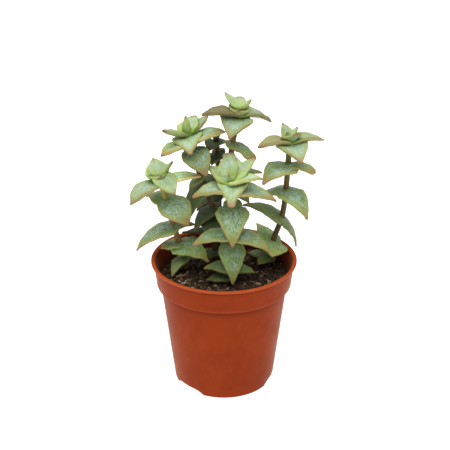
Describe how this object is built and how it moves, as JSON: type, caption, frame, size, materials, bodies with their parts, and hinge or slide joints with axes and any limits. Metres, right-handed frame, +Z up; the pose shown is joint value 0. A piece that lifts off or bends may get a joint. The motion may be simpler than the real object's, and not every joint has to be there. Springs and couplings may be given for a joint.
{
  "type": "potted succulent",
  "caption": "Small potted string of buttons: leafy succulent stems with thick, paired, pointed leaves stand in dark soil in a round terracotta-coloured plastic nursery pot",
  "frame": {"origin": "middle of the pot's flat underside", "axes": "+Z up along the pot's axis, +X to the right in the front view, +Y away from the viewer"},
  "size_m": [0.0789, 0.06, 0.1207],
  "materials": {
    "pot_plastic": "satin",
    "soil": "matte",
    "leaf": "matte"
  },
  "bodies": {
    "root": {"pot": "pot_plastic", "soil": "soil", "stem_a": "leaf", "stem_b": "leaf", "stem_c": "leaf", "stem_d": "leaf", "stem_e": "leaf", "stem_f": "leaf"}
  },
  "joints": []
}
